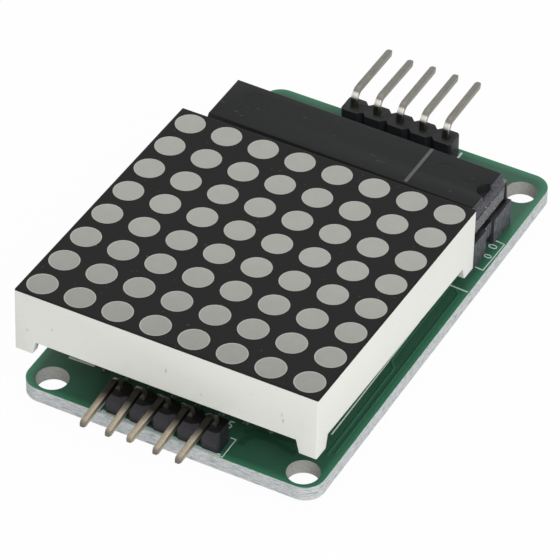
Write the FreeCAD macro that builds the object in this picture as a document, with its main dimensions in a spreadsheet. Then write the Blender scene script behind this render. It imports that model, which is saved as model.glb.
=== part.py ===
import FreeCAD, Part
import math
import os
import Sketcher

os.makedirs("parts", exist_ok=True)
doc = FreeCAD.newDocument("LedDotMatrixModule")
V = FreeCAD.Vector

# Driving dimensions, in millimetres and degrees. The row frame has its origin
# at the centre of the four mounting holes on the underside of the board, +X
# across the board, +Y from the input header to the output header, +Z up.
sizes = {
    # Circuit board
    "board_width": 31.4,
    "board_length": 50.0,
    "board_thickness": 1.6,
    "board_corner_radius": 2.0,
    "board_shift_x": -0.2,
    "board_shift_y": 0.52,
    "hole_spacing_x": 26.6,
    "hole_spacing_y": 45.0,
    "hole_diameter": 3.2,
    "lead_hole_diameter": 0.8,
    "header_hole_diameter": 1.0,
    "tail_length": 1.5,
    "component_axis_x": -0.72,
    "pin_pitch": 2.54,
    # What repeats by the dozen is drawn round with this many sides
    "window_sides": 20,
    "lead_sides": 8,
    # LED matrix block, which sits pitched up towards the input side
    "matrix_size": 31.8,
    "matrix_wall_height": 5.4,
    "matrix_wall_thickness": 1.0,
    "matrix_foot_height": 1.25,
    "matrix_foot_width": 2.2,
    "matrix_foot_taper": 0.35,
    "matrix_tilt": 2.38,
    "matrix_centre_y": -7.35,
    "matrix_face_height": 9.7,
    "mask_thickness": 0.15,
    "dot_count": 8,
    "dot_pitch": 4.0,
    "dot_diameter": 3.0,
    "resin_depth": 3.4,
    "led_board_thickness": 1.0,
    "led_chamber": 0.35,
    "led_die_size": 0.3,
    "led_die_height": 0.2,
    "matrix_pin_diameter": 0.5,
    "matrix_pin_count": 8,
    "matrix_row_spacing": 22.86,
    # Driver chip and its socket
    "chip_length": 29.6,
    "chip_width": 6.5,
    "chip_thickness": 3.3,
    "chip_draft": 0.33,
    "chip_under_draft": 0.05,
    "chip_face_height": 7.2,
    "chip_notch_radius": 1.0,
    "chip_notch_depth": 0.75,
    "chip_y": 13.71,
    "chip_shift_x": 0.1,
    "chip_turn": -0.8,
    "chip_lead_count": 12,
    "chip_row_spacing": 7.62,
    "lead_thickness": 0.25,
    "lead_shoulder_width": 1.5,
    "lead_tip_width": 0.5,
    "lead_insertion": 2.1,
    "seat_clearance": 0.05,
    "socket_length": 30.0,
    "socket_width": 8.8,
    "socket_height": 3.0,
    "socket_rail_width": 1.8,
    "socket_bar_width": 1.7,
    "socket_middle_drop": 0.8,
    "socket_recess_depth": 0.3,
    "socket_recess_drop": 0.15,
    "socket_recess_width": 1.6,
    "socket_arch_height": 1.2,
    "socket_slot_width": 0.9,
    "contact_thickness": 0.2,
    "contact_width": 0.5,
    # Pin headers
    "header_count": 5,
    "header_depth": 2.2,
    "header_height": 2.54,
    "header_notch": 0.5,
    "header_end_trim": 0.27,
    "header_pin_size": 0.6,
    "header_pin_clearance": 0.03,
    "header_bend_radius": 1.0,
    "header_tip_length": 0.35,
    "header_tip_size": 0.4,
    "input_header_y": -23.07,
    "input_run_height": 3.92,
    "input_run_droop": 2.0,
    "output_header_y": 23.83,
    "output_run_height": 4.1,
    "output_run_droop": 0.6,
    # Small parts under the matrix
    "resistor_length": 3.4,
    "resistor_diameter": 1.7,
    "resistor_span": 7.62,
    "resistor_y": -4.0,
    "ceramic_width": 4.0,
    "ceramic_thickness": 2.2,
    "ceramic_length": 3.4,
    "ceramic_y": 1.9,
    "can_diameter": 4.0,
    "can_length": 5.4,
    "can_bung_length": 0.8,
    "can_y": -13.2,
    "small_lead_diameter": 0.5,
    "small_lead_pitch": 2.54,
}

sheet = doc.addObject("Spreadsheet::Sheet", "Dimensions")
for row, (name, value) in enumerate(sizes.items(), start=1):
    sheet.set("A%d" % row, name)
    sheet.set("B%d" % row, str(value))
    sheet.setAlias("B%d" % row, name)
doc.recompute()


def size(name):
    return float(getattr(sheet, name))


def cell(name):
    return "Dimensions." + name


nodes = []


def keep(thing, label):
    """Name a finished sub-part and list it for export."""
    thing.Label = label
    nodes.append(thing)
    return thing


def feature(label, shape, place=None):
    """A sub-part whose shape is built from the sheet's values."""
    thing = doc.addObject("Part::Feature", label)
    thing.Shape = shape
    if place is not None:
        thing.Placement = place
    return keep(thing, label)


def plane(body, role):
    return next(face for face in body.Origin.OriginFeatures if face.Role == role)


def sketch_on(body, role, name, offset=0.0):
    sketch = body.newObject("Sketcher::SketchObject", name)
    sketch.AttachmentSupport = [(plane(body, role), "")]
    sketch.MapMode = "FlatFace"
    sketch.AttachmentOffset = FreeCAD.Placement(V(0, 0, offset), FreeCAD.Rotation())
    return sketch


def place_point(sketch, index, spot, x, y, x_cell, y_cell):
    """Tie a sketch point's distances from the origin to expressions."""
    for kind, value, text in (("DistanceX", x, x_cell), ("DistanceY", y, y_cell)):
        number = sketch.addConstraint(Sketcher.Constraint(kind, -1, 1, index, spot, value))
        sketch.setExpression("Constraints[%d]" % number, text)


def outline(sketch, points):
    """A closed chain of straight lines."""
    first = sketch.GeometryCount
    count = len(points)
    for i, start in enumerate(points):
        end = points[(i + 1) % count]
        sketch.addGeometry(Part.LineSegment(V(*start, 0), V(*end, 0)))
    for i in range(count):
        joint = Sketcher.Constraint("Coincident", first + i, 2, first + (i + 1) % count, 1)
        sketch.addConstraint(joint)
    return first


def round_points(radius, sides, x=0.0, y=0.0):
    """Corners of a many-sided round, one side square to +X."""
    step = 2 * math.pi / sides
    return [(x + radius * math.cos((i + 0.5) * step), y + radius * math.sin((i + 0.5) * step))
            for i in range(int(sides))]


def box(x0, x1, y0, y1, z0, z1):
    return Part.makeBox(x1 - x0, y1 - y0, z1 - z0, V(x0, y0, z0))


def prism(points, direction):
    """Extrude a closed polygon of 3D points."""
    face = Part.Face(Part.makePolygon(points + [points[0]]))
    return face.extrude(direction)


def row_of(count, pitch):
    return [(i - (count - 1) / 2.0) * pitch for i in range(int(count))]


# Shared levels and places
board_top = size("board_thickness")
tail_end = -size("tail_length")
axis_x = size("component_axis_x")
pitch = size("pin_pitch")

tilt = FreeCAD.Rotation(V(1, 0, 0), -size("matrix_tilt"))
matrix_origin = V(axis_x, size("matrix_centre_y"), board_top + size("matrix_face_height"))
matrix_place = FreeCAD.Placement(matrix_origin, tilt)

chip_place = FreeCAD.Placement(
    V(axis_x + size("chip_shift_x"), size("chip_y"), board_top),
    FreeCAD.Rotation(V(0, 0, 1), size("chip_turn")))


def matrix_point(x, y, z):
    return matrix_place.multVec(V(x, y, z))


# Through holes of the board: each is drilled where the axis of its lead
# crosses the middle of the board.
mid_level = board_top / 2.0
lead_points = []
matrix_columns = row_of(size("matrix_pin_count"), pitch)
for side in (-1, 1):
    for x in matrix_columns:
        top = matrix_point(x, side * size("matrix_row_spacing") / 2.0, 0)
        down = tilt.multVec(V(0, 0, -1))
        reach = (top.z - mid_level) / -down.z
        lead_points.append(top + down * reach)
chip_columns = row_of(size("chip_lead_count"), pitch)
for side in (-1, 1):
    for x in chip_columns:
        lead_points.append(chip_place.multVec(V(x, side * size("chip_row_spacing") / 2.0, 0)))
header_points = []
header_columns = row_of(size("header_count"), pitch)
for y in (size("input_header_y"), size("output_header_y")):
    for x in header_columns:
        header_points.append(V(axis_x + x, y, 0))
for side in (-1, 1):
    lead_points.append(V(axis_x + side * size("resistor_span") / 2.0, size("resistor_y"), 0))
    for y in (size("ceramic_y"), size("can_y")):
        lead_points.append(V(axis_x + side * size("small_lead_pitch") / 2.0, y, 0))

# Circuit board: padded outline with rounded corners and four mounting holes,
# then drilled for every lead.
board_body = doc.addObject("PartDesign::Body", "BoardBlank")
sketch = sketch_on(board_body, "XY_Plane", "BoardOutline")
half_w = size("board_width") / 2.0
half_l = size("board_length") / 2.0
shift_x = size("board_shift_x")
shift_y = size("board_shift_y")
left, right = shift_x - half_w, shift_x + half_w
near, far = shift_y - half_l, shift_y + half_l
first = outline(sketch, [(left, near), (right, near), (right, far), (left, far)])
for index, kind in enumerate(("Horizontal", "Vertical", "Horizontal", "Vertical")):
    sketch.addConstraint(Sketcher.Constraint(kind, first + index))
place_point(sketch, first, 1, left, near,
            cell("board_shift_x") + " - " + cell("board_width") + " / 2",
            cell("board_shift_y") + " - " + cell("board_length") + " / 2")
place_point(sketch, first + 2, 1, right, far,
            cell("board_shift_x") + " + " + cell("board_width") + " / 2",
            cell("board_shift_y") + " + " + cell("board_length") + " / 2")
pad = board_body.newObject("PartDesign::Pad", "BoardPad")
pad.Profile = sketch
pad.setExpression("Length", cell("board_thickness"))
doc.recompute()
corners = []
for number, edge in enumerate(pad.Shape.Edges, start=1):
    a, b = edge.Vertexes[0].Point, edge.Vertexes[1].Point
    if abs(a.z - b.z) > 0.1:
        corners.append("Edge%d" % number)
rounding = board_body.newObject("PartDesign::Fillet", "BoardCorners")
rounding.Base = (pad, corners)
rounding.setExpression("Radius", cell("board_corner_radius"))
doc.recompute()
hole_sketch = sketch_on(board_body, "XY_Plane", "MountingHoles")
for side_x in (-1, 1):
    for side_y in (-1, 1):
        centre = V(side_x * size("hole_spacing_x") / 2, side_y * size("hole_spacing_y") / 2, 0)
        circle = Part.Circle(centre, V(0, 0, 1), size("hole_diameter") / 2.0)
        index = hole_sketch.addGeometry(circle)
        bore = hole_sketch.addConstraint(Sketcher.Constraint("Diameter", index, size("hole_diameter")))
        hole_sketch.setExpression("Constraints[%d]" % bore, cell("hole_diameter"))
        place_point(hole_sketch, index, 3, centre.x, centre.y,
                    "%d * %s / 2" % (side_x, cell("hole_spacing_x")),
                    "%d * %s / 2" % (side_y, cell("hole_spacing_y")))
holes = board_body.newObject("PartDesign::Pocket", "MountingPocket")
holes.Profile = hole_sketch
holes.Type = "ThroughAll"
holes.Reversed = True
doc.recompute()
lead_sketch = sketch_on(board_body, "XY_Plane", "LeadHoles")
for points, name in ((lead_points, "lead_hole_diameter"), (header_points, "header_hole_diameter")):
    for point in points:
        outline(lead_sketch, round_points(size(name) / 2.0, size("lead_sides"), point.x, point.y))
drilled = board_body.newObject("PartDesign::Pocket", "LeadDrilling")
drilled.Profile = lead_sketch
drilled.Type = "ThroughAll"
drilled.Reversed = True
board_body.Tip = drilled
doc.recompute()
keep(board_body, "circuit_board")

# Matrix housing: a square white frame, open below, with a tapered foot under
# each corner. Its own frame has the face centre as origin, the face looking up.
outer = size("matrix_size") / 2.0
inner = outer - size("matrix_wall_thickness")
mask_under = -size("mask_thickness")
rim = mask_under - size("matrix_wall_height")
foot_end = rim - size("matrix_foot_height")
housing_outer = doc.addObject("Part::Box", "HousingOuter")
housing_inner = doc.addObject("Part::Box", "HousingInner")
for thing, span in ((housing_outer, cell("matrix_size")),
                    (housing_inner, cell("matrix_size") + " - 2 * " + cell("matrix_wall_thickness"))):
    thing.setExpression("Length", span)
    thing.setExpression("Width", span)
    thing.setExpression("Height", cell("matrix_wall_height"))
    thing.setExpression(".Placement.Base.x", "-(" + span + ") / 2")
    thing.setExpression(".Placement.Base.y", "-(" + span + ") / 2")
    under = "-" + cell("mask_thickness") + " - " + cell("matrix_wall_height")
    thing.setExpression(".Placement.Base.z", under)
housing_walls = doc.addObject("Part::Cut", "HousingWalls")
housing_walls.Base = housing_outer
housing_walls.Tool = housing_inner
foot = size("matrix_foot_width")
taper = size("matrix_foot_taper")
wall = size("matrix_wall_thickness")
feet = []
for side_x in (-1, 1):
    for side_y in (-1, 1):
        for along_x in (True, False):
            profile = [(0, 0), (foot, 0), (foot - taper, foot_end - rim), (0, foot_end - rim)]
            points = []
            for reach, drop in profile:
                if along_x:
                    points.append(V(side_x * (outer - reach), side_y * outer, rim + drop))
                else:
                    points.append(V(side_x * outer, side_y * (outer - reach), rim + drop))
            through = V(0, -side_y * wall, 0) if along_x else V(-side_x * wall, 0, 0)
            feet.append(prism(points, through))
housing_feet = doc.addObject("Part::Feature", "HousingFeet")
housing_feet.Shape = feet[0].fuse(feet[1:]).removeSplitter()
housing = doc.addObject("Part::Fuse", "MatrixHousing")
housing.Base = housing_walls
housing.Tool = housing_feet
housing.Refine = True
housing.Placement = matrix_place
keep(housing, "matrix_housing")

# Black face of the matrix: a thin square plate with a grid of round windows,
# one window cut once and patterned both ways.
face_body = doc.addObject("PartDesign::Body", "MatrixFace")
sketch = sketch_on(face_body, "XY_Plane", "FaceOutline")
first = outline(sketch, [(-outer, -outer), (outer, -outer), (outer, outer), (-outer, outer)])
for index, kind in enumerate(("Horizontal", "Vertical", "Horizontal", "Vertical")):
    sketch.addConstraint(Sketcher.Constraint(kind, first + index))
place_point(sketch, first, 1, -outer, -outer,
            "-" + cell("matrix_size") + " / 2", "-" + cell("matrix_size") + " / 2")
place_point(sketch, first + 2, 1, outer, outer,
            cell("matrix_size") + " / 2", cell("matrix_size") + " / 2")
plate = face_body.newObject("PartDesign::Pad", "FacePlate")
plate.Profile = sketch
plate.Reversed = True
plate.setExpression("Length", cell("mask_thickness"))
doc.recompute()
window = face_body.newObject("PartDesign::SubtractivePrism", "Window")
window.AttachmentSupport = [(plane(face_body, "XY_Plane"), "")]
window.MapMode = "FlatFace"
window.setExpression("Polygon", cell("window_sides"))
window.setExpression("Circumradius", cell("dot_diameter") + " / 2")
window.setExpression("Height", "2 * " + cell("mask_thickness"))
grid_cell = "-(" + cell("dot_count") + " - 1) * " + cell("dot_pitch") + " / 2"
window.setExpression(".AttachmentOffset.Base.x", grid_cell)
window.setExpression(".AttachmentOffset.Base.y", grid_cell)
window.setExpression(".AttachmentOffset.Base.z", "-1.5 * " + cell("mask_thickness"))
doc.recompute()
grid = face_body.newObject("PartDesign::MultiTransform", "WindowGrid")
grid.Originals = [window]
lines = []
for direction in ("H_Axis", "V_Axis"):
    line = doc.addObject("PartDesign::LinearPattern", "Windows" + direction[0])
    line.Direction = (sketch, [direction])
    line.setExpression("Length", "(" + cell("dot_count") + " - 1) * " + cell("dot_pitch"))
    line.setExpression("Occurrences", cell("dot_count"))
    face_body.addObject(line)
    lines.append(line)
grid.Transformations = lines
face_body.Tip = grid
face_body.Placement = matrix_place
keep(face_body, "matrix_face")

# Milky resin behind the windows, filling the frame from wall to wall.
resin = doc.addObject("Part::Box", "MatrixResin")
inner_cell = "(" + cell("matrix_size") + " - 2 * " + cell("matrix_wall_thickness") + ")"
resin.setExpression("Length", inner_cell)
resin.setExpression("Width", inner_cell)
resin.setExpression("Height", cell("resin_depth"))
resin_under = mask_under - size("resin_depth")
resin.Placement = matrix_place.multiply(
    FreeCAD.Placement(V(-inner, -inner, resin_under), FreeCAD.Rotation()))
keep(resin, "matrix_resin")

# LED carrier board inside the frame, with one LED die under each window.
carrier_top = resin_under - size("led_chamber")
carrier_under = carrier_top - size("led_board_thickness")
carrier = box(-inner, inner, -inner, inner, carrier_under, carrier_top)
spacer = box(-inner, inner, -inner, inner, carrier_top, resin_under)
spacer_gap = inner - size("led_chamber") * 2
spacer = spacer.cut(box(-spacer_gap, spacer_gap, -spacer_gap, spacer_gap, carrier_top, resin_under))
feature("led_carrier_board", carrier.fuse(spacer).removeSplitter(), matrix_place)
half_die = size("led_die_size") / 2.0
dies = []
for x in row_of(size("dot_count"), size("dot_pitch")):
    for y in row_of(size("dot_count"), size("dot_pitch")):
        top = carrier_top + size("led_die_height")
        dies.append(box(x - half_die, x + half_die, y - half_die, y + half_die, carrier_top, top))
feature("led_dies", Part.makeCompound(dies), matrix_place)

# Matrix pins: two rows of straight wires from the carrier board through the
# circuit board, cut to the same reach below it.
pin_radius = size("matrix_pin_diameter") / 2.0
for label, side in (("matrix_pins_near", -1), ("matrix_pins_far", 1)):
    wires = []
    y = side * size("matrix_row_spacing") / 2.0
    top = matrix_point(0, y, carrier_under)
    reach = (top.z - tail_end * 0.9) / math.cos(math.radians(size("matrix_tilt")))
    for x in matrix_columns:
        ring = [V(a, b, carrier_under) for a, b in round_points(pin_radius, size("lead_sides"), x, y)]
        wires.append(prism(ring, V(0, 0, -reach)))
    feature(label, Part.makeCompound(wires), matrix_place)

# Driver chip body: two drafted halves meeting at the parting line, with a
# half-round notch in the end that faces +X. Built about its own centre.
chip_top = size("chip_face_height")
chip_under = chip_top - size("chip_thickness")
seam = (chip_top + chip_under) / 2.0
half_length = size("chip_length") / 2.0
half_width = size("chip_width") / 2.0
draft = size("chip_draft")


def rectangle(x, y, z):
    corner = [V(-x, -y, z), V(x, -y, z), V(x, y, z), V(-x, y, z)]
    return Part.makePolygon(corner + [corner[0]])


chip_halves = []
for level, lean in ((chip_under, size("chip_under_draft")), (chip_top, draft)):
    ends = [rectangle(half_length - lean, half_width - lean, level),
            rectangle(half_length, half_width, seam)]
    chip_halves.append(Part.makeLoft(ends, True, True))
chip = chip_halves[0].fuse(chip_halves[1])
notch_depth = size("chip_notch_depth")
notch = Part.makeCylinder(size("chip_notch_radius"), notch_depth + 1,
                          V(half_length - draft, 0, chip_top - notch_depth))
chip = chip.cut(notch)
feature("driver_chip_body", chip, chip_place)

# Chip leads: a wide shoulder that leaves the parting line and turns down, and
# a narrow tip that enters the socket.
row_y = size("chip_row_spacing") / 2.0
thick = size("lead_thickness")
shoulder_end = size("socket_height") + size("seat_clearance")
tip_end = size("socket_height") - size("lead_insertion")
wide = size("lead_shoulder_width")
narrow = size("lead_tip_width")
leads = []
for side in (-1, 1):
    y_in, y_out = row_y - thick / 2.0, row_y + thick / 2.0
    bend = [(half_width, seam - thick / 2), (half_width, seam + thick / 2),
            (y_out, seam + thick / 2), (y_out, shoulder_end), (y_in, shoulder_end),
            (y_in, seam - thick / 2)]
    for x in chip_columns:
        points = [V(x - wide / 2, side * y, z) for y, z in bend]
        shoulder = prism(points, V(wide, 0, 0))
        y0, y1 = sorted((side * y_in, side * y_out))
        tip = box(x - narrow / 2, x + narrow / 2, y0, y1, tip_end, shoulder_end)
        leads.append(shoulder.fuse(tip).removeSplitter())
feature("driver_chip_leads", Part.makeCompound(leads), chip_place)

# Socket body: two rails and three cross bars. The middle bar lies lower than
# the rails, and the one at the +X end is set back and lowered in its middle,
# with an arch below it.
sock_l = size("socket_length") / 2.0
sock_w = size("socket_width") / 2.0
sock_h = size("socket_height")
rail = size("socket_rail_width")
bar = size("socket_bar_width")
recess = size("socket_recess_depth")
recess_w = size("socket_recess_width") / 2.0
socket = box(-sock_l, sock_l, -sock_w, sock_w, 0, sock_h)
for x0, x1 in ((-sock_l + bar, -bar / 2), (bar / 2, sock_l - bar)):
    socket = socket.cut(box(x0, x1, -sock_w + rail, sock_w - rail, 0, sock_h))
middle = sock_h - size("socket_middle_drop")
drop = size("socket_recess_drop")
socket = socket.cut(box(-bar / 2, bar / 2, -sock_w + rail, sock_w - rail, middle, sock_h))
socket = socket.cut(box(sock_l - recess, sock_l, -recess_w, recess_w, 0, sock_h))
socket = socket.cut(box(sock_l - bar, sock_l, -recess_w, recess_w, sock_h - drop, sock_h))
arch = size("socket_arch_height")
socket = socket.cut(box(sock_l - bar, sock_l, -recess_w, recess_w, 0, arch))
contact_t = size("contact_thickness")
tine_out = row_y - thick / 2.0 - size("seat_clearance") / 2.0
slot_in = tine_out - contact_t - size("seat_clearance") / 2.0
slot_out = row_y + thick / 2.0 + size("seat_clearance")
slot_half = size("socket_slot_width") / 2.0
slots = []
for side in (-1, 1):
    y0, y1 = sorted((side * slot_in, side * slot_out))
    for x in chip_columns:
        slots.append(box(x - slot_half, x + slot_half, y0, y1, 0, sock_h))
socket = socket.cut(slots).removeSplitter()
feature("chip_socket_body", socket, chip_place)

# Socket contacts: a spring tine beside each chip lead, stepping out to a
# tail that goes down through the board on the lead's own pitch line.
contacts = []
step = tip_end - size("seat_clearance") * 3
tine_top = sock_h - size("seat_clearance") * 4
tail_low = tail_end - board_top
contact_w = size("contact_width")
for side in (-1, 1):
    tail_in, tail_out = row_y - contact_t / 2.0, row_y + contact_t / 2.0
    strip = [(tail_in, tail_low), (tail_out, tail_low), (tail_out, step),
             (tine_out, step), (tine_out, tine_top), (tine_out - contact_t, tine_top),
             (tine_out - contact_t, step - contact_t), (tail_in, step - contact_t)]
    for x in chip_columns:
        points = [V(x - contact_w / 2, side * y, z) for y, z in strip]
        contacts.append(prism(points, V(contact_w, 0, 0)))
feature("chip_socket_contacts", Part.makeCompound(contacts), chip_place)


# Pin headers: a black strip of eight-sided cells padded from one outline, with
# a square hole through each cell for its pin.
def header_strip(label, y):
    body = doc.addObject("PartDesign::Body", label.title().replace("_", ""))
    sketch = sketch_on(body, "XY_Plane", "CellOutline")
    notch = size("header_notch")
    trim = size("header_end_trim")
    depth = size("header_depth") / 2.0
    ends = size("header_count") * pitch / 2.0
    edge = []
    for x in header_columns:
        edge += [(x - pitch / 2, depth - notch), (x - pitch / 2 + notch, depth),
                 (x + pitch / 2 - notch, depth)]
    edge.append((ends, depth - notch))
    edge[0] = (-ends + trim, depth - notch + trim)
    edge[-1] = (ends - trim, depth - notch + trim)
    outline(sketch, [(x, -y) for x, y in edge] + [(x, y) for x, y in reversed(edge)])
    strip = body.newObject("PartDesign::Pad", "CellStrip")
    strip.Profile = sketch
    strip.setExpression("Length", cell("header_height"))
    doc.recompute()
    openings = sketch_on(body, "XY_Plane", "PinOpenings")
    reach = size("header_pin_size") / 2.0 + size("header_pin_clearance")
    for x in header_columns:
        outline(openings, [(x - reach, -reach), (x + reach, -reach),
                           (x + reach, reach), (x - reach, reach)])
    cut = body.newObject("PartDesign::Pocket", "PinOpeningsPocket")
    cut.Profile = openings
    cut.Type = "ThroughAll"
    cut.Reversed = True
    body.Tip = cut
    doc.recompute()
    body.Placement = FreeCAD.Placement(V(axis_x, y, board_top), FreeCAD.Rotation())
    return keep(body, label)


# Header pin: square wire swept up through the board, round the bend and out
# past the board's edge, with a tapered tip. Its own frame stands on the board.
def header_pin(label, x, y, height, droop, splay, reach, outward):
    half = size("header_pin_size") / 2.0
    turn = math.radians(90 + droop)
    radius = size("header_bend_radius")
    tangent = radius * math.tan(turn / 2.0)
    way = V(0, math.sin(turn), math.cos(turn))
    start = V(0, 0, tail_low)
    low = V(0, 0, height - tangent)
    out = V(0, 0, height) + way * tangent
    centre = low + V(0, radius, 0)
    middle = centre + V(0, -math.cos(turn / 2), math.sin(turn / 2)) * radius
    end = V(0, 0, height) + way * (reach - size("header_tip_length"))
    path = Part.Wire([Part.makeLine(start, low), Part.Arc(low, middle, out).toShape(),
                      Part.makeLine(out, end)])
    square = [V(-half, -half, tail_low), V(half, -half, tail_low),
              V(half, half, tail_low), V(-half, half, tail_low)]
    wire = path.makePipeShell([Part.makePolygon(square + [square[0]])], True, True)
    across = V(1, 0, 0)
    up = across.cross(way)
    rings = []
    for spot, spread in ((end, half), (end + way * size("header_tip_length"),
                                       size("header_tip_size") / 2.0)):
        ring = [spot + across * (sx * spread) + up * (sz * spread)
                for sx, sz in ((-1, -1), (1, -1), (1, 1), (-1, 1))]
        rings.append(Part.makePolygon(ring + [ring[0]]))
    tip = Part.makeLoft(rings, True, True)
    heading = 0 if outward > 0 else 180
    turned = FreeCAD.Rotation(V(0, 0, 1), heading + splay)
    place = FreeCAD.Placement(V(axis_x + x, y, board_top), turned)
    return feature(label, wire.fuse(tip).removeSplitter(), place)


header_strip("input_header_body", size("input_header_y"))
header_strip("output_header_body", size("output_header_y"))
input_splay = (1.4, 2.3, -1.2, 1.5, 0.1)
input_reach = (7.1, 7.1, 6.85, 7.1, 7.15)
output_splay = (-0.4, -0.9, -0.1, 0.0, 0.4)
output_reach = (7.6, 7.15, 7.3, 7.25, 7.25)
for i, x in enumerate(header_columns):
    header_pin("input_pin_%d" % (i + 1), x, size("input_header_y"), size("input_run_height"),
               size("input_run_droop"), input_splay[i % 5], input_reach[i % 5], -1)
for i, x in enumerate(header_columns):
    header_pin("output_pin_%d" % (i + 1), x, size("output_header_y"), size("output_run_height"),
               size("output_run_droop"), output_splay[i % 5], output_reach[i % 5], 1)


# Formed wire lead of the small parts: straight out, a mitred corner down and
# through the board.
def formed_lead(root, corner, radius):
    out = (corner - root).normalize()
    across = out.cross(V(0, 0, 1))
    foot_spot = V(corner.x, corner.y, tail_end * 0.8)
    loops = []
    for spot, up in ((root, V(0, 0, 1)), (corner, V(0, 0, 1) + out), (foot_spot, out)):
        ring = [spot + across * a + up * b for a, b in round_points(radius, size("lead_sides"))]
        loops.append(Part.makePolygon(ring + [ring[0]]))
    return Part.makeLoft(loops, True, True)


# Current-setting resistor, lying across the board under the matrix.
lead_r = size("small_lead_diameter") / 2.0
body_r = size("resistor_diameter") / 2.0
body_l = size("resistor_length") / 2.0
level = board_top + body_r + size("seat_clearance")
spot = V(axis_x, size("resistor_y"), level)
shape = Part.makeCylinder(body_r, 2 * body_l, spot - V(body_l, 0, 0), V(1, 0, 0))
feature("resistor_body", shape)
pair = []
for side in (-1, 1):
    root = spot + V(side * body_l, 0, 0)
    corner = spot + V(side * size("resistor_span") / 2.0, 0, 0)
    pair.append(formed_lead(root, corner, lead_r))
feature("resistor_leads", Part.makeCompound(pair))

# Bypass capacitor, a small dipped block laid flat on the board.
cap_t = size("ceramic_thickness")
cap_w = size("ceramic_width") / 2.0
level = board_top + cap_t / 2 + size("seat_clearance")
y_lead = size("ceramic_y")
y_block = y_lead - 1.0
block = box(axis_x - cap_w, axis_x + cap_w, y_block - size("ceramic_length"), y_block,
            level - cap_t / 2, level + cap_t / 2)
edges = [edge for edge in block.Edges]
feature("bypass_capacitor_body", block.makeFillet(cap_t * 0.3, edges[:4]))
pair = []
for side in (-1, 1):
    x = axis_x + side * size("small_lead_pitch") / 2.0
    pair.append(formed_lead(V(x, y_block, level), V(x, y_lead, level), lead_r))
feature("bypass_capacitor_leads", Part.makeCompound(pair))

# Storage capacitor: a small can laid flat, closed by a rubber bung.
can_r = size("can_diameter") / 2.0
level = board_top + can_r + size("seat_clearance")
y_lead = size("can_y")
y_bung = y_lead + 1.2
y_can = y_bung + size("can_bung_length")
shape = Part.makeCylinder(can_r, size("can_length"), V(axis_x, y_can, level), V(0, 1, 0))
feature("storage_capacitor_can", shape)
shape = Part.makeCylinder(can_r * 0.9, size("can_bung_length"), V(axis_x, y_bung, level), V(0, 1, 0))
feature("storage_capacitor_bung", shape)
pair = []
for side in (-1, 1):
    x = axis_x + side * size("small_lead_pitch") / 2.0
    pair.append(formed_lead(V(x, y_bung, level), V(x, y_lead, level), lead_r))
feature("storage_capacitor_leads", Part.makeCompound(pair))

doc.recompute()
for thing in doc.Objects:
    if "Invalid" in thing.State or "Error" in thing.State:
        raise RuntimeError("%s did not compute: %s" % (thing.Label, thing.State))
for thing in nodes:
    if thing.Shape.isNull() or not thing.Shape.isValid():
        raise RuntimeError("%s has no valid shape" % thing.Label)
for thing in nodes:
    thing.Shape.exportStep("parts/%s.step" % thing.Label)
    print("%-28s solids %3d volume %9.3f mm3" % (thing.Label, len(thing.Shape.Solids), thing.Shape.Volume))
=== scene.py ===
import math

import bmesh
import bpy
from mathutils import Matrix, Vector


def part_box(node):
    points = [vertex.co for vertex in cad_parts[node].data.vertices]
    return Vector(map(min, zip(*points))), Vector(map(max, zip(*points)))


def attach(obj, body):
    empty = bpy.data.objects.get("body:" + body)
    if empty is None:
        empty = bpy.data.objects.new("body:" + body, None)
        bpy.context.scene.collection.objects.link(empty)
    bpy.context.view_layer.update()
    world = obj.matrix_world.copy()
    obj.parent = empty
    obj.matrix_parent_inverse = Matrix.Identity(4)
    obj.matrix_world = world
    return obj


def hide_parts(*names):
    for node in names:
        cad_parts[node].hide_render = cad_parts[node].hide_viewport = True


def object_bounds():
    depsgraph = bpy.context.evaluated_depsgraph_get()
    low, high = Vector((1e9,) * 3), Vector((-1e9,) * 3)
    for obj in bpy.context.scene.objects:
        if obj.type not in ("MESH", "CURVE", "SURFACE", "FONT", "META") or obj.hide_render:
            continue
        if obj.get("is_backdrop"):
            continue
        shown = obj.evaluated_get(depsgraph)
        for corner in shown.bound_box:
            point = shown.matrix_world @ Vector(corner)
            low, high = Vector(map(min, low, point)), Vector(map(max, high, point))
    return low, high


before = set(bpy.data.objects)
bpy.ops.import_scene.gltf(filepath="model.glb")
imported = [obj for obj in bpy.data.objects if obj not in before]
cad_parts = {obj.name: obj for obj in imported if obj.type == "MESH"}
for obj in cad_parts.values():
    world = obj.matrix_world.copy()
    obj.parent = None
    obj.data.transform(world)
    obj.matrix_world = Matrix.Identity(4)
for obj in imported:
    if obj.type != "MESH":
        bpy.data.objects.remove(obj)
cad_low, cad_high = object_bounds()


# Table: a white sheet under the module, lit by a wide soft lamp at the front
# right, a weak one behind and the pale room. The lens looks down on the near
# right corner of the board.
mm = 0.001


def paint(code):
    """A hex colour as the linear values that the shaders take."""
    parts = [int(code[i:i + 2], 16) / 255 for i in (1, 3, 5)]
    linear = [p / 12.92 if p <= 0.04045 else ((p + 0.055) / 1.055) ** 2.4 for p in parts]
    return (*linear, 1.0)


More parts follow.
